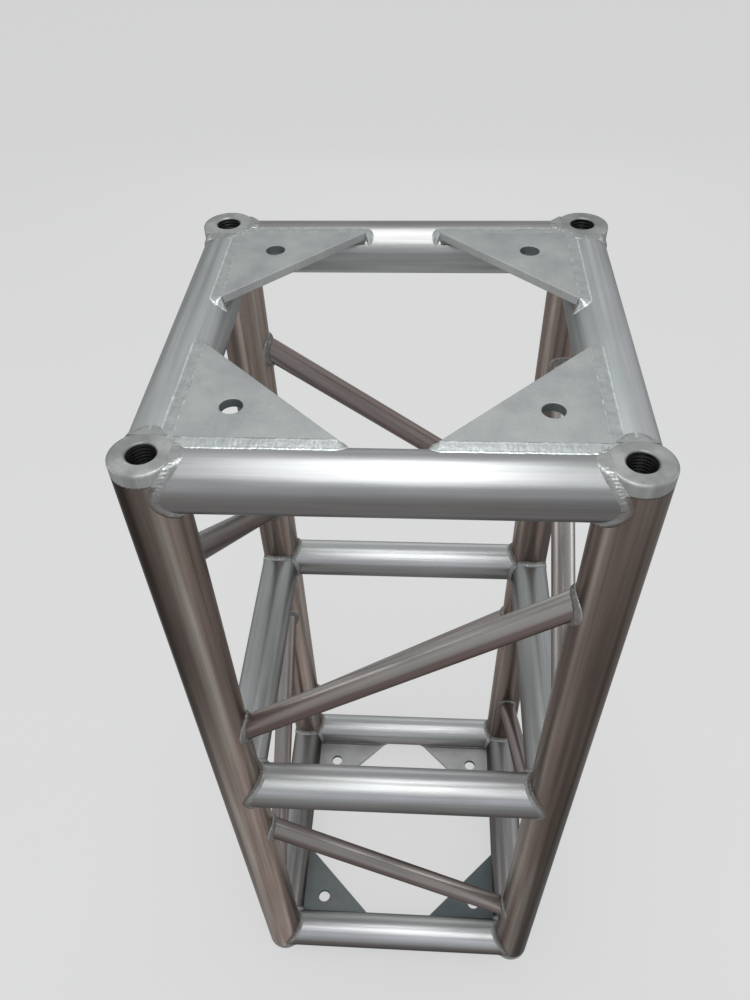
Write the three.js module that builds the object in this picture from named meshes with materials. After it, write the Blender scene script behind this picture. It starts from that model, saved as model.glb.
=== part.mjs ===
// Lighting truss section: a welded aluminium box truss, standing on end.
//
// Four corner chords are joined by three rings of cross tubes. Each face has two diagonal
// braces, which meet on one chord beside the middle ring. A triangular gusset plate closes
// each corner of both end rings, flush with the end plane, and each chord end holds a
// tapped plug. Two sections bolt together through the plugs and the gussets.
//
// Millimetres, +Z up. The origin is the middle of the footprint, on the lower end plane.

import * as THREE from 'three';

// Overall size, outside to outside.
const WIDTH = 400; // along X
const DEPTH = 400; // along Y
const LENGTH = 1000; // along Z, from end plane to end plane

// Tubes.
const CHORD_DIAMETER = 50;
const CHORD_WALL = 4;
const RING_DIAMETER = 50;
const RING_WALL = 3;
const BRACE_DIAMETER = 25;
const BRACE_WALL = 2;

// How far each brace's end lies from the axis of the ring tube beside it, measured along
// the chord. The foot is at the middle ring and the head at an end ring. The braces are
// set by hand before welding, so no two faces are quite alike.
const BRACE_ENDS = {
  front: { upper: { foot: 110, head: 115 }, lower: { foot: 95, head: 115 } },
  right: { upper: { foot: 110, head: 115 }, lower: { foot: 95, head: 115 } },
  back: { upper: { foot: 110, head: 105 }, lower: { foot: 110, head: 95 } },
  left: { upper: { foot: 100, head: 90 }, lower: { foot: 95, head: 115 } },
};

// Gusset plates: right-angled triangles with one bolt hole.
const GUSSET_THICKNESS = 8;
const GUSSET_LEG = 120;
const GUSSET_HOLE_DIAMETER = 18; // clears an M16 bolt
const GUSSET_HOLE_OFFSET = 55; // from the chord's axis, along both legs

// Chord end plugs: a flange as wide as the chord, and a spigot inside it.
const PLUG_FLANGE_THICKNESS = 12;
const PLUG_SPIGOT_LENGTH = 40;
const PLUG_BORE_DIAMETER = 22;
const PLUG_CHAMFER = 0.8;

// Clearances.
const SEAT_GAP = 0.3; // between faces that touch on the real section
const ROOT_GAP = 0.5; // between a coped tube end and its chord, filled by the weld

// Smoothness of the round shapes. Multiples of four keep the widest points true.
const TUBE_SIDES = 32;
const BRACE_SIDES = 16;
const HOLE_SIDES = 24;

// Values worked out from the sizes above.
const chordRadius = CHORD_DIAMETER / 2;
const ringRadius = RING_DIAMETER / 2;
const copeRadius = chordRadius + ROOT_GAP;
const ringLevels = { bottom: ringRadius, middle: LENGTH / 2, top: LENGTH - ringRadius };

// The faces in order round the section, anticlockwise from above. Each one is drawn as the
// front face is, running along +X from its first corner, and is then turned about Z.
const faces = [
  { name: 'front', corner: 'front_left', chordSpacing: WIDTH, faceSpacing: DEPTH },
  { name: 'right', corner: 'front_right', chordSpacing: DEPTH, faceSpacing: WIDTH },
  { name: 'back', corner: 'back_right', chordSpacing: WIDTH, faceSpacing: DEPTH },
  { name: 'left', corner: 'back_left', chordSpacing: DEPTH, faceSpacing: WIDTH },
].map((face, index) => ({
  ...face,
  turn: (index * Math.PI) / 2,
  span: face.chordSpacing - CHORD_DIAMETER, // between the face's two chord axes
  setback: (face.faceSpacing - CHORD_DIAMETER) / 2, // from the truss axis to those axes
}));

const finishes = {
  chord: { color: 0x9a9b9a, roughness: 0.38, metalness: 0.9 },
  ring: { color: 0xa9adae, roughness: 0.32, metalness: 0.9 },
  brace: { color: 0x97989a, roughness: 0.38, metalness: 0.9 },
  gusset: { color: 0xa0a8a6, roughness: 0.6, metalness: 0.75 },
  plug: { color: 0x9ea3a2, roughness: 0.45, metalness: 0.85 },
};

function piece(name, geometry, finish) {
  const mesh = new THREE.Mesh(geometry, new THREE.MeshStandardMaterial(finishes[finish]));
  mesh.name = name;
  return mesh;
}

// Turns a closed outline of [radius, height] points about Z.
function turned(outline) {
  const points = [...outline, outline[0]].map(([radius, height]) => new THREE.Vector2(radius, height));
  return new THREE.LatheGeometry(points, TUBE_SIDES).rotateX(Math.PI / 2);
}

// A straight tube between two upright chords, in the XZ plane. Its axis runs from the first
// chord's axis at the origin to the second one's at (span, 0, rise). cope(sideways) is how
// far from a chord's axis, measured level, the tube's wall has to stop at that offset in Y.
function copedTube({ span, rise, diameter, wall, sides, cope }) {
  const length = Math.hypot(span, rise);
  const cosine = span / length;
  const sine = rise / length;
  const points = [];
  for (const radius of [diameter / 2, diameter / 2 - wall]) {
    for (const atFarEnd of [false, true]) {
      for (let side = 0; side < sides; side += 1) {
        const angle = (side / sides) * 2 * Math.PI;
        const sideways = radius * Math.cos(angle);
        const upward = radius * Math.sin(angle);
        const level = atFarEnd ? span - cope(sideways) : cope(sideways);
        const along = (level + upward * sine) / cosine;
        const forward = along * cosine - upward * sine;
        points.push(new THREE.Vector3(forward, sideways, along * sine + upward * cosine));
      }
    }
  }
  const [outerNear, outerFar, innerNear, innerFar] = [0, 1, 2, 3].map((ring) => ring * sides);
  const indices = [];
  // Splits a patch along its shorter diagonal, which keeps a coped end true to its curve.
  const quad = (a, b, c, d) => {
    const shorter = points[a].distanceTo(points[c]) <= points[b].distanceTo(points[d]);
    indices.push(...(shorter ? [a, b, c, a, c, d] : [a, b, d, b, c, d]));
  };
  for (let side = 0; side < sides; side += 1) {
    const next = (side + 1) % sides;
    quad(outerNear + side, outerNear + next, outerFar + next, outerFar + side);
    quad(innerNear + side, innerFar + side, innerFar + next, innerNear + next);
    quad(outerNear + side, innerNear + side, innerNear + next, outerNear + next);
    quad(outerFar + side, outerFar + next, innerFar + next, innerFar + side);
  }
  const geometry = new THREE.BufferGeometry().setFromPoints(points);
  geometry.setIndex(indices);
  geometry.computeVertexNormals();
  return geometry;
}

// Where a tube's wall meets a chord's round side.
function saddleCope(sideways) {
  return Math.sqrt(Math.max(0, copeRadius ** 2 - sideways ** 2));
}

// A ring tube also meets its neighbour on the next face. Inside the corner, where the two
// would cross, both are cut back to the plane halfway between them.
function ringCope(sideways) {
  return Math.max(saddleCope(sideways), sideways + SEAT_GAP / Math.SQRT2);
}

function ringTube(face) {
  return copedTube({
    span: face.span,
    rise: 0,
    diameter: RING_DIAMETER,
    wall: RING_WALL,
    sides: TUBE_SIDES,
    cope: ringCope,
  });
}

function brace(face, rise) {
  return copedTube({
    span: face.span,
    rise,
    diameter: BRACE_DIAMETER,
    wall: BRACE_WALL,
    sides: BRACE_SIDES,
    cope: saddleCope,
  });
}

// The chord stops short of the end planes by the thickness of a plug's flange.
function chord() {
  const low = PLUG_FLANGE_THICKNESS + SEAT_GAP;
  const high = LENGTH - low;
  const bore = chordRadius - CHORD_WALL;
  return turned([[bore, low], [chordRadius, low], [chordRadius, high], [bore, high]]);
}

// A plug with its flange's outer face at z = 0 and its spigot reaching down.
function plug() {
  const bore = PLUG_BORE_DIAMETER / 2;
  const spigot = chordRadius - CHORD_WALL - SEAT_GAP;
  const shoulder = -PLUG_FLANGE_THICKNESS;
  const end = shoulder - PLUG_SPIGOT_LENGTH;
  return turned([
    [bore, end],
    [spigot - PLUG_CHAMFER, end],
    [spigot, end + PLUG_CHAMFER],
    [spigot, shoulder],
    [chordRadius, shoulder],
    [chordRadius, -PLUG_CHAMFER],
    [chordRadius - PLUG_CHAMFER, 0],
    [bore + PLUG_CHAMFER, 0],
    [bore, -PLUG_CHAMFER],
  ]);
}

// A gusset with its outer face at z = 0, in its corner's frame: the chord's axis is at the
// origin and the legs run along +X and +Y. Its lower edges rest on the ring tubes, and its
// corner is rounded out where it would reach the chord.
function gusset() {
  const edgeHeight = Math.max(0, ringRadius - GUSSET_THICKNESS);
  const edge = Math.sqrt((ringRadius + SEAT_GAP) ** 2 - edgeHeight ** 2);
  const tip = edge + GUSSET_LEG;
  const clearOfChord = chordRadius + SEAT_GAP;
  const outline = new THREE.Shape();
  outline.moveTo(tip, edge);
  outline.lineTo(edge, tip);
  if (edge * Math.SQRT2 < clearOfChord) {
    const startAngle = Math.acos(edge / clearOfChord);
    outline.absarc(0, 0, clearOfChord, startAngle, Math.PI / 2 - startAngle, true);
  } else {
    outline.lineTo(edge, edge);
  }
  outline.closePath();
  const hole = new THREE.Path();
  hole.absarc(GUSSET_HOLE_OFFSET, GUSSET_HOLE_OFFSET, GUSSET_HOLE_DIAMETER / 2, 0, 2 * Math.PI, true);
  outline.holes.push(hole);
  const plate = { depth: GUSSET_THICKNESS, bevelEnabled: false, curveSegments: HOLE_SIDES / 2 };
  return new THREE.ExtrudeGeometry(outline, plate).translate(0, 0, -GUSSET_THICKNESS);
}

// The pieces of one face, and those of its first corner.
function faceGroup(face) {
  const group = new THREE.Group();
  const place = (mesh, z) => {
    mesh.position.set(-face.span / 2, -face.setback, z);
    group.add(mesh);
    return mesh;
  };

  place(piece(`chord_${face.corner}`, chord(), 'chord'), 0);
  for (const [level, z] of Object.entries(ringLevels)) {
    place(piece(`ring_${level}_${face.name}`, ringTube(face), 'ring'), z);
  }
  place(piece(`gusset_top_${face.corner}`, gusset(), 'gusset'), LENGTH);
  place(piece(`gusset_bottom_${face.corner}`, gusset(), 'gusset'), GUSSET_THICKNESS);
  place(piece(`plug_top_${face.corner}`, plug(), 'plug'), LENGTH);
  place(piece(`plug_bottom_${face.corner}`, plug(), 'plug'), 0).rotation.x = Math.PI;

  const bay = ringLevels.top - ringLevels.middle;
  for (const [half, direction] of Object.entries({ upper: 1, lower: -1 })) {
    const { foot, head } = BRACE_ENDS[face.name][half];
    const rise = direction * (bay - foot - head);
    const mesh = piece(`brace_${face.name}_${half}`, brace(face, rise), 'brace');
    place(mesh, ringLevels.middle + direction * foot);
  }
  group.rotation.z = face.turn;
  return group;
}

const truss = new THREE.Group();
for (const face of faces) {
  truss.add(faceGroup(face));
}

export default truss;
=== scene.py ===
# Lighting truss section: the look of every piece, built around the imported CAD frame.
#
# Metres, +Z up. Every tube, plate and plug is rebuilt from its CAD node's place with a fine,
# smooth mesh, and the weld beads that join them are added.
import math

import bmesh
import bpy
from mathutils import Matrix, Vector, noise


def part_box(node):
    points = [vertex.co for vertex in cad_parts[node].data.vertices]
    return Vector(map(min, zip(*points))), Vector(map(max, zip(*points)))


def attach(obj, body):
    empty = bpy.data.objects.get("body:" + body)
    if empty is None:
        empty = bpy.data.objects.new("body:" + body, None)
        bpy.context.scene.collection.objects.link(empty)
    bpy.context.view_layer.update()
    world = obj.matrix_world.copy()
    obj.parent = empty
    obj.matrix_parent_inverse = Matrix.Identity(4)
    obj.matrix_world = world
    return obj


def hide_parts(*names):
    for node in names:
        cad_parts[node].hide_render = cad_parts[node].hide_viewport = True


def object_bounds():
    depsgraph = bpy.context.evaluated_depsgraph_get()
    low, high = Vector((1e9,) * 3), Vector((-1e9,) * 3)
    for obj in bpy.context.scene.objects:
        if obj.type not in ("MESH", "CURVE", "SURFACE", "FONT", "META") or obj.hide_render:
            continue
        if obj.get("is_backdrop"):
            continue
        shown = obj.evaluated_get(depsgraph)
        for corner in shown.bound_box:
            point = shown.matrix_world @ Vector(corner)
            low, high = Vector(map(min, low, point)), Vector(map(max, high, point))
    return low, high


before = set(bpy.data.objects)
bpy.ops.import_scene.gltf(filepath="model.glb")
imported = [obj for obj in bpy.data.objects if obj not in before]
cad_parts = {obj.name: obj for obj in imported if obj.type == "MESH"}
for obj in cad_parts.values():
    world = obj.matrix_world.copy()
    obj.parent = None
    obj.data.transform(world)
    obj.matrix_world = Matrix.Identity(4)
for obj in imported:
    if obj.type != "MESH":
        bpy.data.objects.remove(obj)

cad_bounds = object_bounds()

MM = 0.001

# Smoothness of the meshes.
CHORD_SIDES = 96
RING_SIDES = 96
BRACE_SIDES = 64
HOLE_SIDES = 48
CHORD_ROWS = 40  # along a chord, for its tones
END_ROWS = [0, 8 * MM, 20 * MM, 45 * MM]  # of a coped tube, from each end
RIM_STEPS = 4  # round a plug's rim
SHARP_ANGLE = math.radians(35)
PLATE_SHARP_ANGLE = math.radians(12)
PLATE_CORNER_ANGLE = math.radians(30)  # a plate's edges are broken where it bends more than this
TOLERANCE = 0.001 * MM
SEED_STEP = (0.37, 0.61, 1.13)  # how far a material's pattern moves from one seed to the next

# Sizes inside the CAD outline that its boxes don't give.
CHORD_WALL = 4 * MM
RING_WALL = 3 * MM
BRACE_WALL = 2 * MM
ROOT_GAP = 0.5 * MM  # between a coped tube end and its chord
GUSSET_HOLE_RADIUS = 9 * MM
GUSSET_HOLE_OFFSET = 55 * MM  # from the chord's axis, along both legs
GUSSET_BEVEL = 0.7 * MM
FLANGE_THICKNESS = 12 * MM
SPIGOT_RADIUS = 20.7 * MM
BORE_RADIUS = 11 * MM
RIM_ROUNDING = 2.5 * MM
PLUG_CHAMFER = 1 * MM
PLUG_EDGE_BREAK = 0.3 * MM
PLUG_FLAT = (1 * MM, 0.5 * MM)  # from its mouth and its rounding, where its shading turns level
FACE_DEPTH = 0.12 * MM  # of a plug's face under the end plane, where the weld runs over it
THREAD_PITCH = 3 * MM
THREAD_DEPTH = 1.3 * MM
THREAD_END = 1.4 * MM  # from a plug's ends
THREAD_RUNOUT = 0.4  # how soon it is whole below its mouth, in pitches
THREAD_STEPS = 8  # loops to one turn of the thread

# Painted shade on the pieces, as a tone. Below 0 it is painted light, brighter than the material's own
# colours.
DARKEST_TONE = 1.15  # of a tube, which would look black where its tones add up to more
PLAIN = (0, 0, 0)
# Painted shade of a chord, standing in for its reflections (painted light below 0): all round it at its
# bottom and its top, then on its outer side at both.
CHORD_PAINTED_SHADING = {"front_left": (-1.3, 0.15, 0.6, 0.9), "front_right": (-0.3, 0.3, 1.35, 0.4),
                  "back_right": (0.1, 0.3, 0.7, 0.5), "back_left": (0.1, 0.45, 0.6, 0.5)}
# Painted shade of a ring tube or a brace (painted light below 0): its upper side, its lower half and its
# inner side.
TUBE_PAINTED_SHADING = {"brace_front_lower": (0.4, 0.9, 1.5), "brace_front_upper": (-0.1, 1.0, 0),
                 "ring_top_back": (0.45, -0.9, 0), "ring_top_left": (-0.6, -0.6, 0),
                 "ring_top_right": (-0.75, -0.75, 0), "ring_middle_back": (-0.3, -0.4, 0),
                 "ring_bottom_back": (-0.3, -0.3, 0), "ring_bottom_front": (-0.15, 0.9, 0.3),
                 "ring_bottom_left": (0.6, 0.8, 0.5), "ring_bottom_right": (0.6, 0.8, 0.5)}
CHORD_FADE = (0.25, 0.85)  # where its bottom tones pass into its top ones, of its height
# How far a chord's surface faces outwards where its strip of painted shade starts and is whole, and its strip
# of painted light.
PAINTED_SHADE_STRIP, PAINTED_LIGHT_STRIP = (0.1, 1.0), (-0.3, -0.75)
# how strong the painted light of the inner strip is
PAINTED_LIGHT_STRENGTH = 0.5
# Of a level tube: how far its surface faces up or down where the painted shade on its sides fades and has
# gone.
TOP_FADE, UNDER_FADE = (0.05, 0.85), (0.15, 0.6)
# how much of that painted shade painted light takes back on its underside, where it faces the floor
UNDER_PAINTED_LIGHT = 0.7
OWN_FADE = (0.0, 0.8)  # how far it faces up where its own painted shade or light on its upper side starts and is whole
INSIDE_FADE = (0.1, 0.8)  # how far it faces inwards, for the painted shade of its inner side
# A plate's tone is its painted light and shade: below 0 it is painted shade, duller than the material's own
# colours, and above 0 painted light.
PLATE_PAINTED_SHADING = {"gusset_bottom_front_left": -2.3, "gusset_bottom_front_right": -3.2,
                    "gusset_bottom_back_left": 3.4, "gusset_bottom_back_right": 3.4}
HOLE_PAINTED_SHADE = -3.0  # painted shade on the wall of a plate's hole
EDGE_PAINTED_REFLECTION = 1  # a painted reflection on its sawn edges, lighter than the plate

# Weld beads.
BEAD_STEP = 0.7 * MM  # between sections along a bead
BEAD_POINTS = 13  # across a bead, closer together at its edges
BEAD_TRIES = 80  # for measuring how long a bead is
BEAD_TAPER = 4 * MM  # how far from its ends a bead is lower
BEAD_END = 0.35  # the share of its height that it keeps there
ROOT_DEPTH = 2 * MM  # of a bead's root inside the metal
RIPPLE_PITCH = 3.4 * MM
RIPPLE_HEIGHT = 0.32 * MM
RIPPLE_CURVE = 0.55  # how far a ripple's middle lies behind its ends, in pitches
RIPPLE_WAVER = 0.5  # how uneven the ripples are, in pitches
CREST_POWER = 0.7  # below 1 the ripples are broad, with narrow valleys
SWELL = 0.35  # the share by which a bead's height comes and goes
WAVERS_PER_METRE, SWELLS_PER_METRE, LUMPS_PER_METRE = 90, 160, 420
EDGE_WAVER, EDGE_LUMPS = 0.06, 0.05  # how uneven a bead's edges are, in shares of its half width
RING_LEGS = (6 * MM, 3.5 * MM, 4.5 * MM)  # a weld's reach on a tube's top, its sides and the chord
BRACE_LEGS = (4.5 * MM, 4.5 * MM, 4.5 * MM)
MITRE_LEG = 4.8 * MM  # its reach where two ring tubes meet
SADDLE_EASE = 0.92  # rounds a tube's end where it is as wide as the chord that it meets
BAND_EDGE = 7.5 * MM  # the gusset weld's far edge, from the ring tube's axis
BAND_DEPTH = 0.12 * MM  # of its near edge under the end plane
BAND_START = 14 * MM  # from the chord's axis
TOE_HEIGHT = 0.35 * MM  # of the raised line along a band's edges
TOE_PLACE, TOE_WIDTH = 0.88, 0.07  # where it runs, as a share of the way out from the middle
TIP_TURN = math.radians(135)  # of a band round its plate's tip
TIP_LENGTH = 14 * MM  # how much of the band's length that takes
TIP_REACH = 5 * MM  # from the tip to the band's far edge, where the band ends
TIP_DROP = 2.5 * MM  # of its near edge, down the tip
TIP_TUCK = 0.5 * MM  # of that edge into the plate
TIP_BLOB = 1.6 * MM  # how much higher the band is there
BLOB_LENGTH = 12 * MM  # over how much of its end
UNDERSIDE_LEG = 5 * MM
UNDERSIDE_START, UNDERSIDE_END = 6 * MM, 1 * MM  # from the plate's corner and from its tip
SEAM_WIDTH = 2.8 * MM
SEAM_DEPTH, SEAM_ROOT = 0.35 * MM, 3 * MM  # of its edges and its root under the chord's side
# Their tones, much of them painted shade and painted highlights. Below 0 is brighter than the material's own
# colours.
RING_WELD_PAINTED_SHADE = 0.7  # the painted shade of the tubes' sides that a ring weld carries on, as a share of the ring tubes' own
CHORD_SIDE = (0.3, 0.75)  # between where and where, across a ring weld, it turns as dark as the chord
# A band's tone, and the strength of the painted highlights along its outer and inner toes.
BAND_TONE, TOE_PAINTED_HIGHLIGHT, INNER_TOE_PAINTED_HIGHLIGHT = -0.45, 1.9, 0.95
OUTER_TOE, INNER_TOE = (0.84, 0.93), (0.1, 0.03)  # where, across a band, its painted highlight lines start and are whole
TOE_BREAK = (0.05, 0.3)  # the noise at which a line is broken, and at which it isn't
BREAKS_PER_METRE = 160
# A brace weld's tone, the painted highlight line along its edge on the chord, and where across it that line
# starts and is whole.
COLLAR_TONE, COLLAR_TOE_PAINTED_HIGHLIGHT, COLLAR_TOE = 0.75, 0.95, (0.82, 0.93)
# painted shade on the weld under a plate
UNDERSIDE_PAINTED_SHADE = 0.8
SEAM_TONE = 1.0
BOX_CLEARANCE = 0.03 * MM  # of the beads inside the section's outline

# ---------------------------------------------------------------- the layout, from the frame

CORNERS = ("front_left", "front_right", "back_right", "back_left")
FACES = ("front", "right", "back", "left")
Z_LOW, Z_HIGH = cad_bounds[0][2], cad_bounds[1][2]


def middle(name):
    low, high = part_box(name)
    return (low + high) / 2


chord_axis = [middle(f"chord_{corner}").xy.to_3d() for corner in CORNERS]
chord_low, chord_high = (corner.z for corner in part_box("chord_front_left"))
chord_radius = (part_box("chord_front_left")[1].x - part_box("chord_front_left")[0].x) / 2
ring_radius = (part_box("ring_middle_front")[1].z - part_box("ring_middle_front")[0].z) / 2
ring_z = {level: middle(f"ring_{level}_front").z for level in ("bottom", "middle", "top")}
gusset_low, gusset_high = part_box("gusset_top_front_left")
gusset_edge = gusset_low.x - chord_axis[0].x
gusset_tip = gusset_high.x - chord_axis[0].x
gusset_thickness = gusset_high.z - gusset_low.z
plug_depth = Z_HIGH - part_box("plug_top_front_left")[0].z


def face_frame(index):
    """The front face's own frame, turned to a face: the origin on its first chord's axis at
    floor level, X towards the next chord, Y inwards."""
    first, second = chord_axis[index], chord_axis[(index + 1) % 4]
    x_axis = (second - first).normalized()
    z_axis = Vector((0, 0, 1))
    turn = Matrix((x_axis, z_axis.cross(x_axis), z_axis)).transposed()
    return Matrix.Translation(first) @ turn.to_4x4()


def corner_frame(index, z, downwards=False):
    """The origin on a chord's axis at height z, with X and Y along its two ring tubes and Z
    away from the section's middle."""
    place = Matrix.Translation((0, 0, z)) @ face_frame(index)
    if downwards:
        place = place @ Matrix.Rotation(math.pi, 4, Vector((1, 1, 0)))
    return place


def span(index):
    return (chord_axis[(index + 1) % 4] - chord_axis[index]).length


# ---------------------------------------------------------------- meshes


def add_piece(name, parts, material, nodes=(), sharp=SHARP_ANGLE):
    """One object from a list of (vertices, faces, grain, tones, frame). Grain is where the
    material's pattern is read, tones run from 0 to the material's second colour at 1, and frame
    places the part."""
    vertices, faces, grain, tones = [], [], [], []
    for part_vertices, part_faces, part_grain, part_tones, place in parts:
        start = len(vertices)
        vertices += [place @ vertex for vertex in part_vertices]
        faces += [[start + corner for corner in face] for face in part_faces]
        grain += part_grain
        tones += part_tones
    mesh = bpy.data.meshes.new(name)
    mesh.from_pydata(vertices, [], faces)
    attribute = mesh.attributes.new("grain", "FLOAT_VECTOR", "POINT")
    attribute.data.foreach_set("vector", [value for point in grain for value in point])
    mesh.attributes.new("tone", "FLOAT", "POINT").data.foreach_set("value", tones)
    made = bmesh.new()
    made.from_mesh(mesh)
    bmesh.ops.recalc_face_normals(made, faces=made.faces)
    made.to_mesh(mesh)
    made.free()
    mesh.shade_smooth()
    mesh.set_sharp_from_angle(angle=sharp)
    mesh.materials.append(material)
    piece = bpy.data.objects.new(name, mesh)
    bpy.context.scene.collection.objects.link(piece)
    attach(piece, "root")
    if nodes:
        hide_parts(*nodes)


def loft(loops, closed=True):
    """Joins loops of as many points each, end to end. A closed loft joins the last to the first."""
    sides = len(loops[0])
    vertices = [point for loop in loops for point in loop]
    faces = []
    for row in range(len(loops) if closed else len(loops) - 1):
        here, there = row * sides, (row + 1) % len(loops) * sides
        for side in range(sides):
            after = (side + 1) % sides
            faces.append([here + side, here + after, there + after, there + side])
    return vertices, faces


def circle(radius, z, sides):
    """A level loop. radius may be a function of the turn, from 0 to 1."""
    loop = []
    for side in range(sides):
        share = side / sides
        reach = radius(share) if callable(radius) else radius
        angle = share * 2 * math.pi
        loop.append(Vector((reach * math.cos(angle), reach * math.sin(angle), z)))
    return loop


def seeded(points, seed):
    """Grain for points in a piece's own frame, moved so that no two like pieces look the same."""
    shift = Vector([seed * step for step in SEED_STEP])
    return [point + shift for point in points]


def smooth_step(low, high, value):
    """Rises from 0 at low to 1 at high, or falls when low is the larger one."""
    share = min(1, max(0, (value - low) / (high - low)))
    return share * share * (3 - 2 * share)


def painted_side_shade(rise):
    """The painted shade of a level tube, from how far its surface faces upwards. The sides are the most
    shaded.
    """
    return 1 - smooth_step(*TOP_FADE, rise) - UNDER_PAINTED_LIGHT * smooth_step(*UNDER_FADE, -rise)


def chord_part(index, seed):
    """A chord. Its tone is painted shade and light that stand in for its reflections: its own all round, a
    strip of painted shade along the section's outer corner and a strip of painted light along its inner side."""
    low, high, outer_low, outer_high = CHORD_PAINTED_SHADING[CORNERS[index]]
    heights = [chord_low + (chord_high - chord_low) * row / CHORD_ROWS for row in range(CHORD_ROWS + 1)]
    outer = [circle(chord_radius, z, CHORD_SIDES) for z in heights]
    inner = [circle(chord_radius - CHORD_WALL, z, CHORD_SIDES) for z in reversed(heights)]
    vertices, faces = loft(outer + inner)
    outwards = chord_axis[index].normalized()
    tones = []
    for vertex in vertices:
        height = smooth_step(*CHORD_FADE, (vertex.z - chord_low) / (chord_high - chord_low))
        facing = vertex.to_2d().normalized().dot(outwards.to_2d())
        # painted shade along the section's outer corner, and painted light along the inner side
        shade_strip = (outer_low + (outer_high - outer_low) * height) * smooth_step(*PAINTED_SHADE_STRIP, facing)
        light_strip = PAINTED_LIGHT_STRENGTH * smooth_step(*PAINTED_LIGHT_STRIP, facing)
        tones.append(low + (high - low) * height + shade_strip - light_strip)
    return vertices, faces, seeded(vertices, seed), tones, Matrix.Translation(chord_axis[index])


def saddle(sideways):
    """How far from a chord's axis a coped tube stops, at that offset from its own axis."""
    return math.sqrt(max(0, (chord_radius + ROOT_GAP) ** 2 - sideways**2))


def mitre(sideways):
    """The same for a ring tube, which also meets its neighbour inside the corner. Its outer side
    is as wide as the chord, and the weld closes the last sliver there."""
    return max(saddle(sideways if sideways > 0 else sideways * SADDLE_EASE), sideways)


def tube_part(index, z_near, z_far, radius, wall, sides, cope, seed, painted_shading):
    """A coped tube in a face's frame, from one chord's axis to the next one's. Its tone is the painted shade
    of its sides, and its own painted shade or light on its upper side, its lower half and its inner side."""
    reach = span(index)
    length = math.hypot(reach, z_far - z_near)
    cosine, sine = reach / length, (z_far - z_near) / length
    on_top, below, inside = painted_shading

    def loop(loop_radius, setback, far):
        points, grain, tones = [], [], []
        for side in range(sides):
            angle = side / sides * 2 * math.pi
            sideways, upward = loop_radius * math.cos(angle), loop_radius * math.sin(angle)
            level = reach - cope(sideways) if far else cope(sideways)
            along = (level + upward * sine) / cosine + (-setback if far else setback)
            points.append(Vector((along * cosine - upward * sine, sideways,
                                  z_near + along * sine + upward * cosine)))
            grain.append(Vector((sideways, upward, along)))
            upper = smooth_step(*OWN_FADE, math.sin(angle))
            # painted shade of the sides, and the tube's own painted shade or light
            tone = painted_side_shade(math.sin(angle)) + below + (on_top - below) * upper
            tone += inside * smooth_step(*INSIDE_FADE, math.cos(angle))
            tones.append(min(DARKEST_TONE, tone))
        return points, grain, tones

    outer = [(radius, row, False) for row in END_ROWS] + [(radius, row, True) for row in reversed(END_ROWS)]
    inner = [(radius - wall, row, far) for _, row, far in reversed(outer)]
    loops = [loop(*values) for values in outer + inner]
    vertices, faces = loft([points for points, _, _ in loops])
    grain = [point for _, points, _ in loops for point in points]
    tones = [tone for _, _, values in loops for tone in values]
    return vertices, faces, seeded(grain, seed), tones, face_frame(index)


def brace_heights(name, index):
    """The heights at which a brace's axis meets its two chords' axes."""
    to_face = face_frame(index).inverted()
    points = {tuple(round(value, 6) for value in to_face @ vertex.co)
              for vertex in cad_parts[name].data.vertices}
    half = span(index) / 2
    near = [point for point in points if point[0] < half]
    far = [point for point in points if point[0] >= half]
    (x_near, z_near), (x_far, z_far) = (
        (sum(point[0] for point in end) / len(end), sum(point[2] for point in end) / len(end))
        for end in (near, far)
    )
    slope = (z_far - z_near) / (x_far - x_near)
    return z_near - slope * x_near, z_near + slope * (span(index) - x_near)


def plug_part(place, seed):
    """A plug in a corner's frame, with a thread in its bore. Its tone is painted shade in the bore."""
    mouth = BORE_RADIUS + THREAD_DEPTH
    profile = [(mouth, -FACE_DEPTH - PLUG_EDGE_BREAK), (mouth + PLUG_EDGE_BREAK, -FACE_DEPTH),
               (mouth + PLUG_FLAT[0], -FACE_DEPTH),
               (chord_radius - RIM_ROUNDING - PLUG_FLAT[1], -FACE_DEPTH)]
    for step in range(RIM_STEPS + 1):
        turn = step / RIM_STEPS * math.pi / 2
        profile.append((chord_radius - RIM_ROUNDING * (1 - math.sin(turn)),
                        -FACE_DEPTH - RIM_ROUNDING * (1 - math.cos(turn))))
    profile += [(chord_radius, -FLANGE_THICKNESS + PLUG_CHAMFER),
                (chord_radius - PLUG_CHAMFER, -FLANGE_THICKNESS),
                (SPIGOT_RADIUS, -FLANGE_THICKNESS), (SPIGOT_RADIUS, -plug_depth + PLUG_CHAMFER),
                (SPIGOT_RADIUS - PLUG_CHAMFER, -plug_depth), (mouth, -plug_depth)]
    loops = [circle(radius, z, CHORD_SIDES) for radius, z in profile]
    top, bottom = -THREAD_END, -plug_depth + THREAD_END
    rows = round((top - bottom) / THREAD_PITCH * THREAD_STEPS)
    for row in range(rows + 1):
        z = bottom + (top - bottom) * row / rows
        fade = min(1, (z - bottom) / THREAD_PITCH, (top - z) / (THREAD_RUNOUT * THREAD_PITCH))

        def reach(share, z=z, fade=fade):
            phase = (z / THREAD_PITCH + share) % 1
            return BORE_RADIUS + THREAD_DEPTH * fade * (1 - abs(2 * phase - 1))

        loops.append(circle(reach, z, CHORD_SIDES))
    vertices, faces = loft(loops)
    # painted shade in the threaded bore
    tones = [float(row > len(profile)) for row in range(len(loops)) for _ in range(CHORD_SIDES)]
    return vertices, faces, seeded(vertices, seed), tones, place


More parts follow.
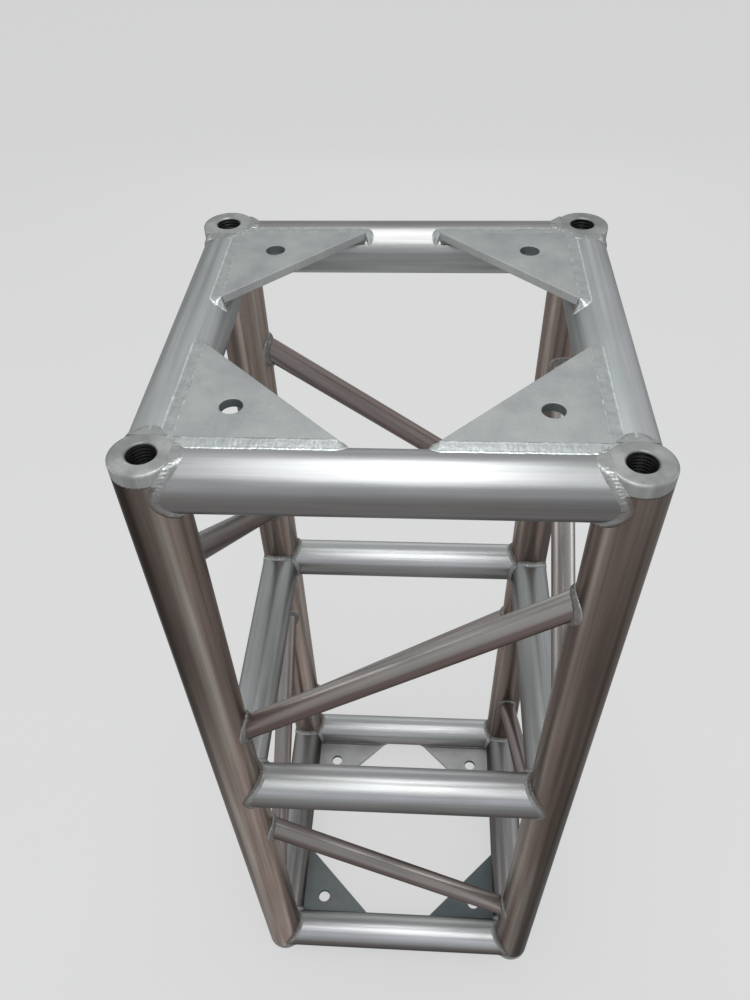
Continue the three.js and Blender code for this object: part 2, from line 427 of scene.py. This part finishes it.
def gusset_part(place, seed, brightness):
    """A gusset in a corner's frame: a right-angled plate with one hole and broken edges. Its tone is its
    painted light or shade, and apart from that a painted reflection on its edges and painted shade on its
    hole's wall."""
    made = bmesh.new()
    outline = [(gusset_tip, gusset_edge), (gusset_edge, gusset_tip), (gusset_edge, gusset_edge)]
    hole_centre = Vector((GUSSET_HOLE_OFFSET, GUSSET_HOLE_OFFSET))
    hole = [hole_centre + point.to_2d() for point in circle(GUSSET_HOLE_RADIUS, 0, HOLE_SIDES)]
    edges = []
    for ring in (outline, hole):
        corners = [made.verts.new((x, y, 0)) for x, y in ring]
        edges += [made.edges.new((corner, corners[number - 1])) for number, corner in enumerate(corners)]
    filled = bmesh.ops.triangle_fill(made, use_beauty=True, use_dissolve=False, edges=edges)
    flat = [item for item in filled["geom"] if isinstance(item, bmesh.types.BMFace)]
    grown = bmesh.ops.extrude_face_region(made, geom=flat)
    moved = [item for item in grown["geom"] if isinstance(item, bmesh.types.BMVert)]
    bmesh.ops.translate(made, vec=(0, 0, -gusset_thickness), verts=moved)
    bmesh.ops.recalc_face_normals(made, faces=made.faces)

    def free(edge):
        """Whether an edge is one of the plate's corners, and isn't buried in a weld."""
        if len(edge.link_faces) < 2 or edge.calc_face_angle() < PLATE_CORNER_ANGLE:
            return False
        halfway = (edge.verts[0].co + edge.verts[1].co) / 2
        return min(halfway.xy) > gusset_edge + TOLERANCE

    rims = [edge for edge in made.edges if free(edge)]
    bmesh.ops.bevel(made, geom=rims, offset=GUSSET_BEVEL, segments=2, profile=0.5, affect="EDGES")
    made.verts.index_update()
    vertices = [vertex.co.copy() for vertex in made.verts]
    faces = [[vertex.index for vertex in face.verts] for face in made.faces]
    made.free()
    # painted light or shade of the whole plate, passing into painted shade in the hole and a painted
    # reflection on the edges
    tones = []
    for vertex in vertices:
        depth = min(-vertex.z, gusset_thickness + vertex.z)
        in_hole = (vertex.xy - hole_centre).length < GUSSET_HOLE_RADIUS + 2 * GUSSET_BEVEL
        side = HOLE_PAINTED_SHADE if in_hole else EDGE_PAINTED_REFLECTION
        tones.append(brightness + (side - brightness) * smooth_step(0, GUSSET_BEVEL, depth))
    return vertices, faces, seeded(vertices, seed), tones, place


# ---------------------------------------------------------------- weld beads


def paced(section):
    """A bead's sections at even distances along it, each after its distances from both ends."""
    trail = [section(step / BEAD_TRIES) for step in range(BEAD_TRIES + 1)]
    middles = [(first + second) / 2 for first, second, _ in trail]
    travelled = [0]
    for here, there in zip(middles, middles[1:]):
        travelled.append(travelled[-1] + (there - here).length)
    length = travelled[-1]
    steps = max(4, round(length / BEAD_STEP))
    cell = 0
    for step in range(steps + 1):
        distance = length * step / steps
        while cell < BEAD_TRIES - 1 and travelled[cell + 1] < distance:
            cell += 1
        stretch = travelled[cell + 1] - travelled[cell]
        share = (cell + (distance - travelled[cell]) / stretch) / BEAD_TRIES
        yield distance, length - distance, section(min(1, share))


def bead_part(section, place, seed, tone, bulge=0.6 * MM, ripple=RIPPLE_HEIGHT, toe=0, lumps=0.2 * MM,
              blob=0):
    """A weld bead in a frame. section(share) gives its two edges and its root, from the start
    at 0 to the end at 1. Its face is arched by bulge, rippled and lumpy, with a raised line of
    the height toe along both edges, and higher by blob towards its end. Its root is inside the
    metal. tone(point, across) depends on the place in the scene and the share of the way across."""
    loops, shades = [], []
    for distance, remaining, (first, second, root) in paced(section):
        outward = ((first + second) / 2 - root).normalized()
        waver = noise.noise(Vector((distance * WAVERS_PER_METRE, seed * 3.7, 1.5)))
        swell = 1 + SWELL * noise.noise(Vector((distance * SWELLS_PER_METRE, seed * 5.1, 8.5)))
        taper = min(1, distance / BEAD_TAPER, remaining / BEAD_TAPER)
        kept = BEAD_END + (1 - BEAD_END) * math.sqrt(max(0, taper))
        high = bulge + blob * smooth_step(BLOB_LENGTH, BLOB_LENGTH / 2, remaining)
        loop = []
        for point in range(BEAD_POINTS):
            across = math.sin(math.pi * (point / (BEAD_POINTS - 1) - 0.5))
            arch = 1 - across**2
            phase = distance / RIPPLE_PITCH + RIPPLE_CURVE * arch + RIPPLE_WAVER * waver
            crest = abs(math.sin(math.pi * phase)) ** CREST_POWER
            edge = first.lerp(second, (across + 1) / 2)
            lump = noise.noise(place @ edge * LUMPS_PER_METRE)
            height = high * arch * swell + ripple * (crest - 0.5) * math.sqrt(arch) * swell
            height += lumps * lump * math.sqrt(arch)
            ridge = math.exp(-(((abs(across) - TOE_PLACE) / TOE_WIDTH) ** 2))
            height += toe * ridge * (0.8 + 0.6 * lump)
            sway = 0.5 + 0.5 * across * (1 + EDGE_WAVER * waver + EDGE_LUMPS * lump)
            where = first.lerp(second, sway)
            shades.append(tone(place @ where, sway))
            loop.append(where + outward * height * kept)
        loop.append(root)
        shades.append(0.0)
        loops.append(loop)
    vertices, faces = loft(loops, closed=False)
    last = len(vertices) - len(loops[0])
    faces.append(list(range(len(loops[0]))))
    faces.append([last + number for number in range(len(loops[0]))])
    placed = [place @ vertex for vertex in vertices]
    for vertex in placed:
        for axis, (low, high) in enumerate(zip(*cad_bounds)):
            vertex[axis] = min(max(vertex[axis], low + BOX_CLEARANCE), high - BOX_CLEARANCE)
    return placed, faces, seeded(placed, 0), shades, Matrix.Identity(4)


def on_chord(around, up, end_plane):
    """A point on a chord's side, from its distance round the chord and its height. Above the
    end plane it lies on the plug's face instead."""
    turn = around / chord_radius
    reach = chord_radius - max(0, up - end_plane)
    return Vector((reach * math.cos(turn), reach * math.sin(turn), min(up, end_plane)))


def saddle_section(radius, legs, centre, slope, first_turn, last_turn, end_plane=math.inf):
    """A section of the weld round a coped tube, which leaves the chord's axis at height centre
    along +X with that slope. Turns go from the top over the outer side. legs are the weld's
    reach on the tube at its top and bottom, the same at its sides, and on the chord."""
    along = Vector((math.cos(slope), 0, math.sin(slope)))
    upward = Vector((-math.sin(slope), 0, math.cos(slope)))

    def section(share):
        turn = first_turn + (last_turn - first_turn) * share
        normal = Vector((0, -math.sin(turn), 0)) + upward * math.cos(turn)
        sideways = -radius * math.sin(turn)
        level = saddle(sideways * SADDLE_EASE) - ROOT_GAP
        distance = (level + radius * math.cos(turn) * math.sin(slope)) / math.cos(slope)
        root = along * distance + normal * radius + Vector((0, 0, centre))
        around = chord_radius * math.atan2(sideways, level)
        middle_up = centre + chord_radius * math.tan(slope)
        away = Vector((around, root.z - middle_up)).normalized()
        leg = legs[1] + (legs[0] - legs[1]) * abs(math.cos(turn))
        chord_edge = on_chord(around + away.x * legs[2], root.z + away.y * legs[2], end_plane)
        chord_normal = Vector((level, sideways, 0)).normalized()
        inward = (normal + chord_normal).normalized()
        return root + along * leg, chord_edge, root - inward * ROOT_DEPTH

    return section


def swapped(section):
    """The same section on the corner's other ring tube."""
    return lambda share: [Vector((point.y, point.x, point.z)) for point in section(share)]


def mitre_section(axis_z):
    """A section of the upright weld inside a corner, where two ring tubes meet."""
    top = ring_radius * math.sin(math.radians(45))
    on_first, on_second = Vector((MITRE_LEG, 0, 0)), Vector((0, MITRE_LEG, 0))

    def section(share):
        up = top * (1 - 2 * share)
        out = math.sqrt(ring_radius**2 - up**2)
        root = Vector((out, out, axis_z + up))
        inward = Vector((out, out, 2 * up)).normalized()
        return root + on_first, root + on_second, root - inward * ROOT_DEPTH

    return section


def tube_top(sideways):
    """How far a ring tube's side lies under the end plane, at that distance from its axis."""
    return math.sqrt(max(0, ring_radius**2 - sideways**2)) - ring_radius


def band_section(share):
    """A section of the gusset's outer weld, along its leg and round its tip."""
    straight = gusset_tip - BAND_START
    distance = share * (straight + TIP_LENGTH)
    if distance < straight:
        x = BAND_START + distance
        return (Vector((x, gusset_edge, -BAND_DEPTH)), Vector((x, BAND_EDGE, tube_top(BAND_EDGE))),
                Vector((x, gusset_edge - ROOT_DEPTH, -gusset_thickness)))
    turned = (distance - straight) / TIP_LENGTH
    angle = TIP_TURN * turned - math.pi / 2
    heading = Vector((math.cos(angle), math.sin(angle), 0))
    tip = Vector((gusset_tip, gusset_edge, 0))
    reach = (gusset_edge - BAND_EDGE) * (1 - turned) + TIP_REACH * turned
    edge = tip + heading * reach
    edge.z = tube_top(edge.y)
    near = tip + Vector((0, 0, -BAND_DEPTH - TIP_DROP * turned)) - heading * TIP_TUCK
    return near, edge, tip + Vector((0, 0, -gusset_thickness)) - heading * ROOT_DEPTH


def underside_section(share):
    """A section of the gusset's inner weld, under the plate."""
    turn = math.acos((ring_radius - gusset_thickness) / ring_radius)
    start, end = gusset_edge + UNDERSIDE_START, gusset_tip - UNDERSIDE_END
    x = start + (end - start) * share
    root = Vector((x, ring_radius * math.sin(turn), -gusset_thickness))
    lower = turn + UNDERSIDE_LEG / ring_radius
    edge = Vector((x, ring_radius * math.sin(lower), ring_radius * math.cos(lower) - ring_radius))
    leg = min(UNDERSIDE_LEG, gusset_tip - x)
    inward = Vector((0, math.sin(turn), math.cos(turn) - 1)).normalized()
    return root + Vector((0, leg, 0)), edge, root - inward * ROOT_DEPTH


def seam_section(share):
    """A section of the weld between a chord and its plug's flange."""
    angle = share * 2 * math.pi
    out = Vector((math.cos(angle), math.sin(angle), 0))
    level = Vector((0, 0, -FLANGE_THICKNESS))
    seam = out * (chord_radius - SEAM_DEPTH) + level
    up = Vector((0, 0, SEAM_WIDTH / 2))
    return seam + up, seam - up, out * (chord_radius - SEAM_ROOT) + level


def ring_welds(place, axis_z, seed):
    """The welds of two ring tubes to their chord and to each other. They carry most of the painted shade of
    the tubes' sides, and on the chord's own metal they are as dark as the chord."""
    quarter = math.pi / 4
    end_plane = 0 if axis_z else math.inf
    height = (place @ Vector((0, 0, axis_z))).z

    def tone(point, across):
        # painted shade of the tubes' sides, at this height
        side = painted_side_shade((point.z - height) / ring_radius)
        on_plug = min(abs(point.z - Z_LOW), abs(point.z - Z_HIGH)) < FLANGE_THICKNESS
        return max(RING_WELD_PAINTED_SHADE * side, 0 if on_plug else smooth_step(*CHORD_SIDE, across))

    around = saddle_section(ring_radius, RING_LEGS, axis_z, 0, -quarter, math.pi + quarter, end_plane)
    beads = [bead_part(section, place, seed + shift, tone, ripple=0.6 * MM, lumps=0.5 * MM)
             for section, shift in ((around, 0.1), (swapped(around), 0.2))]
    between = mitre_section(axis_z)
    return beads + [bead_part(between, place, seed + 0.3, lambda point, across: tone(point, 0))]


def toe_highlight_tone(point, across):
    """A band's painted highlight line along its outer edge, and the broken one along its inner edge."""
    whole = smooth_step(*TOE_BREAK, noise.noise(point * BREAKS_PER_METRE))
    outer = TOE_PAINTED_HIGHLIGHT * smooth_step(*OUTER_TOE, across) * (0.7 + 0.3 * whole)
    inner = INNER_TOE_PAINTED_HIGHLIGHT * smooth_step(*INNER_TOE, across) * whole
    return BAND_TONE - max(outer, inner)


def collar_tone(point, across):
    """A brace's weld is nearly as dark as the chord, with a painted highlight line along its edge there."""
    return COLLAR_TONE - COLLAR_TOE_PAINTED_HIGHLIGHT * smooth_step(*COLLAR_TOE, across)


def gusset_welds(place, seed):
    """The welds along both legs of a gusset, above and below it."""
    beads = []
    for number, (band, under) in enumerate(((band_section, underside_section),
                                            (swapped(band_section), swapped(underside_section)))):
        beads.append(bead_part(band, place, seed + 0.4 + number / 10, toe_highlight_tone, bulge=0.2 * MM,
                               ripple=0.06 * MM, toe=TOE_HEIGHT, lumps=0.15 * MM, blob=TIP_BLOB))
        beads.append(bead_part(under, place, seed + 0.6 + number / 10, lambda point, across: UNDERSIDE_PAINTED_SHADE))
    return beads


# ---------------------------------------------------------------- materials

# A dull oxide skin scatters part of the light, and holds the reflection back at a grazing angle.
METAL = {"Metallic": 0.72, "Specular Tint": (0.35, 0.35, 0.35, 1), "Specular IOR Level": 0.3}
PLATE_DARK, PLATE_LIGHT = (0.325, 0.334, 0.342), (0.43, 0.45, 0.444)
# a plate's colour is multiplied by this at tone 1 and carried on in the same line: painted light above 0,
# painted shade below
PLATE_SHADING_TINT = (1.19, 1.175, 1.17)
WELD_DARK, WELD_LIGHT = (0.34, 0.355, 0.35), (0.42, 0.43, 0.425)
WELD_CHORD_SIDE = (0.46, 0.41, 0.39)
STREAK_SPREAD = (0.38, 0.6)  # the noise at which a tube's darkest and lightest streaks lie


def shader(name, sockets):
    """A node material with constant values set on the shader's own sockets."""
    material = bpy.data.materials.new(name)
    material.use_nodes = True
    tree = material.node_tree
    principled = tree.nodes["Principled BSDF"]
    for socket, value in sockets.items():
        principled.inputs[socket].default_value = value
    return material, tree, principled


def node(tree, kind, inputs=None, **settings):
    made = tree.nodes.new(kind)
    for setting, value in settings.items():
        setattr(made, setting, value)
    for socket, value in (inputs or {}).items():
        if isinstance(value, bpy.types.NodeSocket):
            tree.links.new(value, made.inputs[socket])
        else:
            made.inputs[socket].default_value = value
    return made


def pattern(tree, scale, stretch, detail=3, roughness=0.6):
    """Noise read along the piece's own grain, about scale patches to a metre across it. stretch
    is how many times longer they are along Z."""
    grain = node(tree, "ShaderNodeAttribute", attribute_name="grain")
    size = (scale, scale, scale / stretch)
    scaled = node(tree, "ShaderNodeVectorMath", {0: grain.outputs["Vector"], 1: size}, operation="MULTIPLY")
    made = node(tree, "ShaderNodeTexNoise", {"Vector": scaled.outputs[0], "Scale": 1.0,
                                             "Detail": detail, "Roughness": roughness})
    return made.outputs["Fac"]


def ramp(tree, factor, stops):
    made = node(tree, "ShaderNodeValToRGB", {0: factor})
    elements = made.color_ramp.elements
    while len(elements) < len(stops):
        elements.new(0.5)
    for element, (place, colour) in zip(elements, stops):
        element.position = place
        element.color = (*colour, 1) if isinstance(colour, tuple) else (colour, colour, colour, 1)
    return made.outputs["Color"]


def mixed(tree, factor, first, second, blend="MIX", clamp_factor=True):
    made = node(tree, "ShaderNodeMix", data_type="RGBA", blend_type=blend, clamp_factor=clamp_factor)
    for socket, value in ((0, factor), (6, first), (7, second)):
        if isinstance(value, bpy.types.NodeSocket):
            tree.links.new(value, made.inputs[socket])
        else:
            made.inputs[socket].default_value = value if socket == 0 else (*value, 1)
    return made.outputs[2]


def toned(tree, colour, second):
    """The colour as it is at tone 0, and multiplied by a second one at tone 1. Tones below 0 and above 1
    carry on in the same line. For most pieces the tones are painted light and shade."""
    tone = node(tree, "ShaderNodeAttribute", attribute_name="tone")
    factor = mixed(tree, tone.outputs["Fac"], (1, 1, 1), second, clamp_factor=False)
    return mixed(tree, 1.0, colour, factor, "MULTIPLY")


def roughened(tree, principled, factor, limits, roughness):
    """Gives the shader a roughness between two values, where the factor is between its limits."""
    rough = node(tree, "ShaderNodeMapRange", dict(enumerate((factor, *limits, *roughness))))
    tree.links.new(rough.outputs[0], principled.inputs["Roughness"])


def tube_material(name, metallic, streaks, contrast, roughness, second):
    """Drawn or turned aluminium: broad lengthwise streaks in the given colours, from dark to
    light, then thin streaks of that contrast, fine lines along it and soft patches."""
    material, tree, principled = shader(name, {**METAL, "Metallic": metallic})
    broad_streaks = pattern(tree, 42, 45, detail=2)
    thin_streaks = pattern(tree, 150, 90, detail=2)
    patches = pattern(tree, 16, 4)
    lines = pattern(tree, 500, 50, detail=2)
    scratches = pattern(tree, 240, 40, detail=2)
    low, high = STREAK_SPREAD
    spacing = (high - low) / (len(streaks) - 1)
    colour = ramp(tree, broad_streaks, [(low + spacing * step, tint) for step, tint in enumerate(streaks)])
    for factor, stops in ((patches, [(0.35, 0.88), (0.65, 1.1)]), (lines, [(0.3, 0.93), (0.7, 1.05)]),
                          (thin_streaks, [(0.35, 1 - contrast), (0.65, 1 + contrast)])):
        colour = mixed(tree, 1.0, colour, ramp(tree, factor, stops), "MULTIPLY")
    tree.links.new(toned(tree, colour, second), principled.inputs["Base Color"])
    roughened(tree, principled, scratches, (0.35, 0.75), roughness)
    dents = node(tree, "ShaderNodeBump", {"Height": patches, "Strength": 1.0, "Distance": 0.2 * MM})
    bump = node(tree, "ShaderNodeBump", {"Height": lines, "Strength": 0.06, "Distance": 0.03 * MM,
                                         "Normal": dents.outputs[0]})
    tree.links.new(bump.outputs[0], principled.inputs["Normal"])
    return material


def plate_material():
    """Sawn flat plate, brushed and mottled."""
    material, tree, principled = shader("gusset_plate", METAL)
    patches = pattern(tree, 26, 1, detail=5)
    lines = pattern(tree, 600, 25, detail=2)
    specks = pattern(tree, 420, 1, detail=2)
    colour = ramp(tree, patches, [(0.3, PLATE_DARK), (0.7, PLATE_LIGHT)])
    for factor, stops in ((lines, [(0.3, 0.96), (0.7, 1.03)]), (specks, [(0.66, 1.0), (0.74, 0.8)])):
        colour = mixed(tree, 1.0, colour, ramp(tree, factor, stops), "MULTIPLY")
    tree.links.new(toned(tree, colour, PLATE_SHADING_TINT), principled.inputs["Base Color"])
    roughened(tree, principled, patches, (0.3, 0.7), (0.56, 0.66))
    bump = node(tree, "ShaderNodeBump", {"Height": patches, "Strength": 0.15, "Distance": 0.3 * MM})
    tree.links.new(bump.outputs[0], principled.inputs["Normal"])
    return material


def weld_material():
    """Weld metal: satin, with small frozen facets that are smoother and lighter in colour, a painted glint.
    """
    material, tree, principled = shader("weld_bead", METAL)
    speckle = pattern(tree, 700, 1, detail=3, roughness=0.7)
    patches = pattern(tree, 120, 1)
    colour = ramp(tree, patches, [(0.35, WELD_DARK), (0.65, WELD_LIGHT)])
    # the facets' lighter colour is a painted glint, on top of their lower roughness
    facet_glints = ramp(tree, speckle, [(0.35, 0.85), (0.62, 1.0), (0.7, 1.9)])
    colour = mixed(tree, 1.0, colour, facet_glints, "MULTIPLY")
    tree.links.new(toned(tree, colour, WELD_CHORD_SIDE), principled.inputs["Base Color"])
    roughened(tree, principled, speckle, (0.35, 0.7), (0.5, 0.22))
    bump = node(tree, "ShaderNodeBump", {"Height": speckle, "Strength": 0.25, "Distance": 0.15 * MM})
    tree.links.new(bump.outputs[0], principled.inputs["Normal"])
    return material


# At tone 1 each colour is multiplied by its second one: the painted shade of the chords, ring tubes and
# braces.
CHORD_METAL = tube_material(
    "chord_tube", metallic=0.85, contrast=0.15, roughness=(0.26, 0.38), second=(0.3, 0.3, 0.3),
    streaks=[(0.14, 0.115, 0.105), (0.21, 0.162, 0.142), (0.28, 0.226, 0.2), (0.37, 0.325, 0.295)])
RING_METAL = tube_material(
    "ring_tube", metallic=0.9, contrast=0.05, roughness=(0.31, 0.39), second=(0.48, 0.45, 0.44),
    streaks=[(0.35, 0.36, 0.36), (0.41, 0.42, 0.42), (0.46, 0.455, 0.47)])
BRACE_METAL = tube_material(
    "brace_tube", metallic=0.85, contrast=0.1, roughness=(0.28, 0.38), second=(0.5, 0.45, 0.44),
    streaks=[(0.31, 0.255, 0.245), (0.38, 0.353, 0.342), (0.47, 0.45, 0.44)])
# its second colour is the painted shade in the bore
PLUG_METAL = tube_material(
    "end_plug", metallic=0.72, contrast=0.05, roughness=(0.45, 0.58), second=(0.08, 0.08, 0.08),
    streaks=[(0.295, 0.304, 0.295), (0.342, 0.354, 0.346), (0.39, 0.4, 0.393)])
PLATE_METAL = plate_material()
WELD_METAL = weld_material()

# ---------------------------------------------------------------- the pieces

for index, corner in enumerate(CORNERS):
    face = FACES[index]
    seed = index + 1  # the chord's own, and with tens added the one of each other piece here
    chord = f"chord_{corner}"
    add_piece(f"{chord}_tube", [chord_part(index, seed)], CHORD_METAL, [chord])

    for number, (level, z) in enumerate(ring_z.items()):
        ring = f"ring_{level}_{face}"
        part = tube_part(index, z, z, ring_radius, RING_WALL, RING_SIDES, mitre, seed + 10 * number + 10,
                         TUBE_PAINTED_SHADING.get(ring, PLAIN))
        add_piece(f"{ring}_tube", [part], RING_METAL, [ring])

    for number, half in enumerate(("lower", "upper")):
        brace = f"brace_{face}_{half}"
        z_near, z_far = brace_heights(brace, index)
        low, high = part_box(brace)
        radius = min(high.x - low.x, high.y - low.y) / 2
        part = tube_part(index, z_near, z_far, radius, BRACE_WALL, BRACE_SIDES, saddle,
                         seed + 50 + 10 * number, TUBE_PAINTED_SHADING.get(brace, PLAIN))
        add_piece(f"{brace}_tube", [part], BRACE_METAL, [brace])
        slope = math.atan2(z_far - z_near, span(index))
        near = saddle_section(radius, BRACE_LEGS, z_near, slope, 0, 2 * math.pi)
        far = saddle_section(radius, BRACE_LEGS, z_far, -slope, 0, 2 * math.pi)
        near_frame = face_frame(index)
        far_frame = near_frame @ Matrix.Translation((span(index), 0, 0)) @ Matrix.Rotation(math.pi, 4, "Z")
        welds = [bead_part(section, at, seed + shift, collar_tone, bulge=1.1 * MM, ripple=0.3 * MM,
                           lumps=0.6 * MM)
                 for section, at, shift in ((near, near_frame, 0.5), (far, far_frame, 0.7))]
        add_piece(f"weld_{brace}", welds, WELD_METAL)

    for end, z, downwards in (("top", Z_HIGH, False), ("bottom", Z_LOW, True)):
        place = corner_frame(index, z, downwards)
        seed_here = seed + (30 if downwards else 20)
        gusset, plug = f"gusset_{end}_{corner}", f"plug_{end}_{corner}"
        plate = gusset_part(place, seed_here, PLATE_PAINTED_SHADING.get(gusset, 0))
        add_piece(f"{gusset}_plate", [plate], PLATE_METAL, [gusset], PLATE_SHARP_ANGLE)
        add_piece(f"{plug}_turned", [plug_part(place, seed_here)], PLUG_METAL, [plug])
        welds = ring_welds(place, -ring_radius, seed_here) + gusset_welds(place, seed_here)
        welds.append(bead_part(seam_section, place, seed_here, lambda point, across: SEAM_TONE,
                               bulge=0.1 * MM, ripple=0.3 * MM))
        add_piece(f"weld_{end}_{corner}", welds, WELD_METAL)
    welds = ring_welds(corner_frame(index, ring_z["middle"]), 0, seed + 40)
    add_piece(f"weld_middle_{corner}", welds, WELD_METAL)

# ---------------------------------------------------------------- the stage

FLOOR_REACH = 30
FLOOR_GAP = 0.2 * MM  # under the section
BACKDROP = (0.742, 0.742, 0.742)
FLOOR_GLOW = 0.72  # the share of the floor's brightness, as seen, that no shadow takes away
FLOOR_BOUNCE = (0.42, 0.41, 0.41)  # its colour for the light that it throws back up
SKY = (0.53, 0.55, 0.545)

# The camera stands close to the section, above it, and looks down a little turned. Its tilt is
# measured from straight down.
CAMERA_PLACE = (0.0254, -0.6057, 1.3781)
CAMERA_HEADING, CAMERA_TILT, CAMERA_ROLL = math.radians(4.76), math.radians(43.88), math.radians(-2.17)
FOCAL_LENGTH, SENSOR_SIZE = 29.58, 36  # in real millimetres, the sensor along its longer side
LENS_SHIFT = 0.0279


def stage():
    """A pale floor that is seen, directly and in the metal, as an even grey with soft shadows."""
    material, tree, principled = shader("floor", {"Roughness": 0.9, "Specular IOR Level": 0.0})
    rays = node(tree, "ShaderNodeLightPath")
    seen = node(tree, "ShaderNodeMath", {0: rays.outputs["Is Camera Ray"], 1: rays.outputs["Is Glossy Ray"]},
                operation="MAXIMUM")
    seen = node(tree, "ShaderNodeMath", {0: seen.outputs[0], 1: rays.outputs["Is Transmission Ray"]},
                operation="MAXIMUM")
    colour = mixed(tree, seen.outputs[0], FLOOR_BOUNCE, BACKDROP)
    tree.links.new(colour, principled.inputs["Base Color"])
    share = node(tree, "ShaderNodeMath", {0: seen.outputs[0], 1: FLOOR_GLOW}, operation="MULTIPLY")
    glow = node(tree, "ShaderNodeEmission", {"Color": (*BACKDROP, 1), "Strength": 1.0})
    blend = node(tree, "ShaderNodeMixShader",
                 {0: share.outputs[0], 1: principled.outputs[0], 2: glow.outputs[0]})
    tree.links.new(blend.outputs[0], tree.nodes["Material Output"].inputs["Surface"])
    mesh = bpy.data.meshes.new("floor")
    mesh.from_pydata([(x * FLOOR_REACH, y * FLOOR_REACH, 0) for x, y in ((-1, -1), (1, -1), (1, 1), (-1, 1))],
                     [], [(0, 1, 2, 3)])
    mesh.materials.append(material)
    floor = bpy.data.objects.new("floor", mesh)
    floor.location.z = Z_LOW - FLOOR_GAP
    bpy.context.scene.collection.objects.link(floor)
    floor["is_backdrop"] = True

    world = bpy.data.worlds.new("studio")
    world.use_nodes = True
    background = world.node_tree.nodes["Background"]
    background.inputs["Color"].default_value = (*SKY, 1)
    background.inputs["Strength"].default_value = 1.0
    bpy.context.scene.world = world


def lamp(name, place, target, size, brightness, colour=(1, 1, 1)):
    """A softbox of that brightness, where 1 is a white surface in full light."""
    light = bpy.data.lights.new(name, "AREA")
    light.shape = "RECTANGLE"
    light.size, light.size_y = size
    light.energy = brightness * math.pi * size[0] * size[1]
    light.color = colour
    made = bpy.data.objects.new(name, light)
    made.location = place
    aim = Vector(target) - Vector(place)
    made.rotation_euler = aim.to_track_quat("-Z", "Y").to_euler()
    made.visible_camera = False
    bpy.context.scene.collection.objects.link(made)


def camera():
    lens = bpy.data.cameras.new("camera")
    lens.sensor_fit = "AUTO"
    lens.sensor_width = SENSOR_SIZE
    lens.lens = FOCAL_LENGTH
    lens.shift_y = LENS_SHIFT
    made = bpy.data.objects.new("camera", lens)
    turn = Matrix.Identity(4)
    for angle, axis in ((CAMERA_HEADING, "Z"), (CAMERA_TILT, "X"), (CAMERA_ROLL, "Z")):
        turn = turn @ Matrix.Rotation(angle, 4, axis)
    made.matrix_world = Matrix.Translation(CAMERA_PLACE) @ turn
    bpy.context.scene.collection.objects.link(made)
    bpy.context.scene.camera = made


stage()
lamp("overhead", (0, -0.5, 2.3), target=(0, -0.5, 0.5), size=(0.5, 2.4), brightness=4.6)
lamp("front", (0, -2.8, 1.6), target=(0, 0, 0.8), size=(3.0, 1.5), brightness=0.4, colour=(0.93, 0.95, 1.1))
lamp("behind", (0, 2.8, 1.0), target=(0, 0, 0.6), size=(2.0, 1.2), brightness=0.6)
for name, side in (("left", -1), ("right", 1)):
    lamp(name, (2.8 * side, 0.3, 1.3), target=(0, 0, 0.5), size=(1.4, 1.4), brightness=1.5)
camera()
bpy.context.scene.view_settings.view_transform = "Standard"

boxes = {"cad": cad_bounds, "visual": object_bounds()}
{name: [list(corner) for corner in box] for name, box in boxes.items()}
